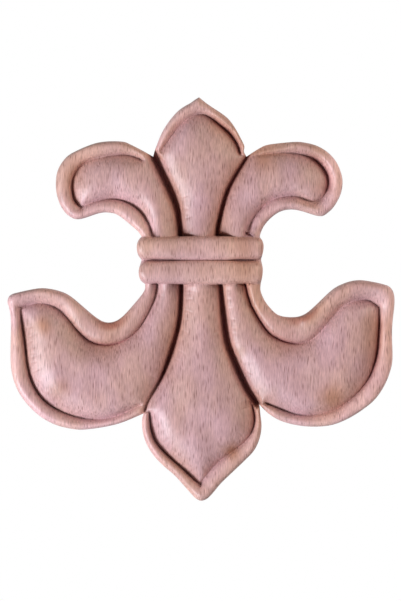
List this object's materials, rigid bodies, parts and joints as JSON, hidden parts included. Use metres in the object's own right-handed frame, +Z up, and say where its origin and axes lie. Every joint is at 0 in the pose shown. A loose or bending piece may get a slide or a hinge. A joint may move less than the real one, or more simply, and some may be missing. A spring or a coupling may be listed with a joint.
{
  "type": "carved wood applique",
  "caption": "Fleur-de-lis carved in relief in solid wood: domed petals inside raised rims, gathered by a reeded band, with a flat back for fixing.",
  "frame": {"origin": "centre of the flat back, half way between the upper and the lower tip", "axes": "+Y straight out of the flat back, towards what it is fixed to, so the carved front faces -Y; +Z up; +X to the right, seen from the front"},
  "size_m": [0.1248, 0.012, 0.13],
  "materials": {
    "beech": "steamed beech, unfinished and finely sanded, with fine dark ray flecks along the grain"
  },
  "bodies": {
    "root": {"fleur_de_lis": "beech"}
  },
  "joints": []
}
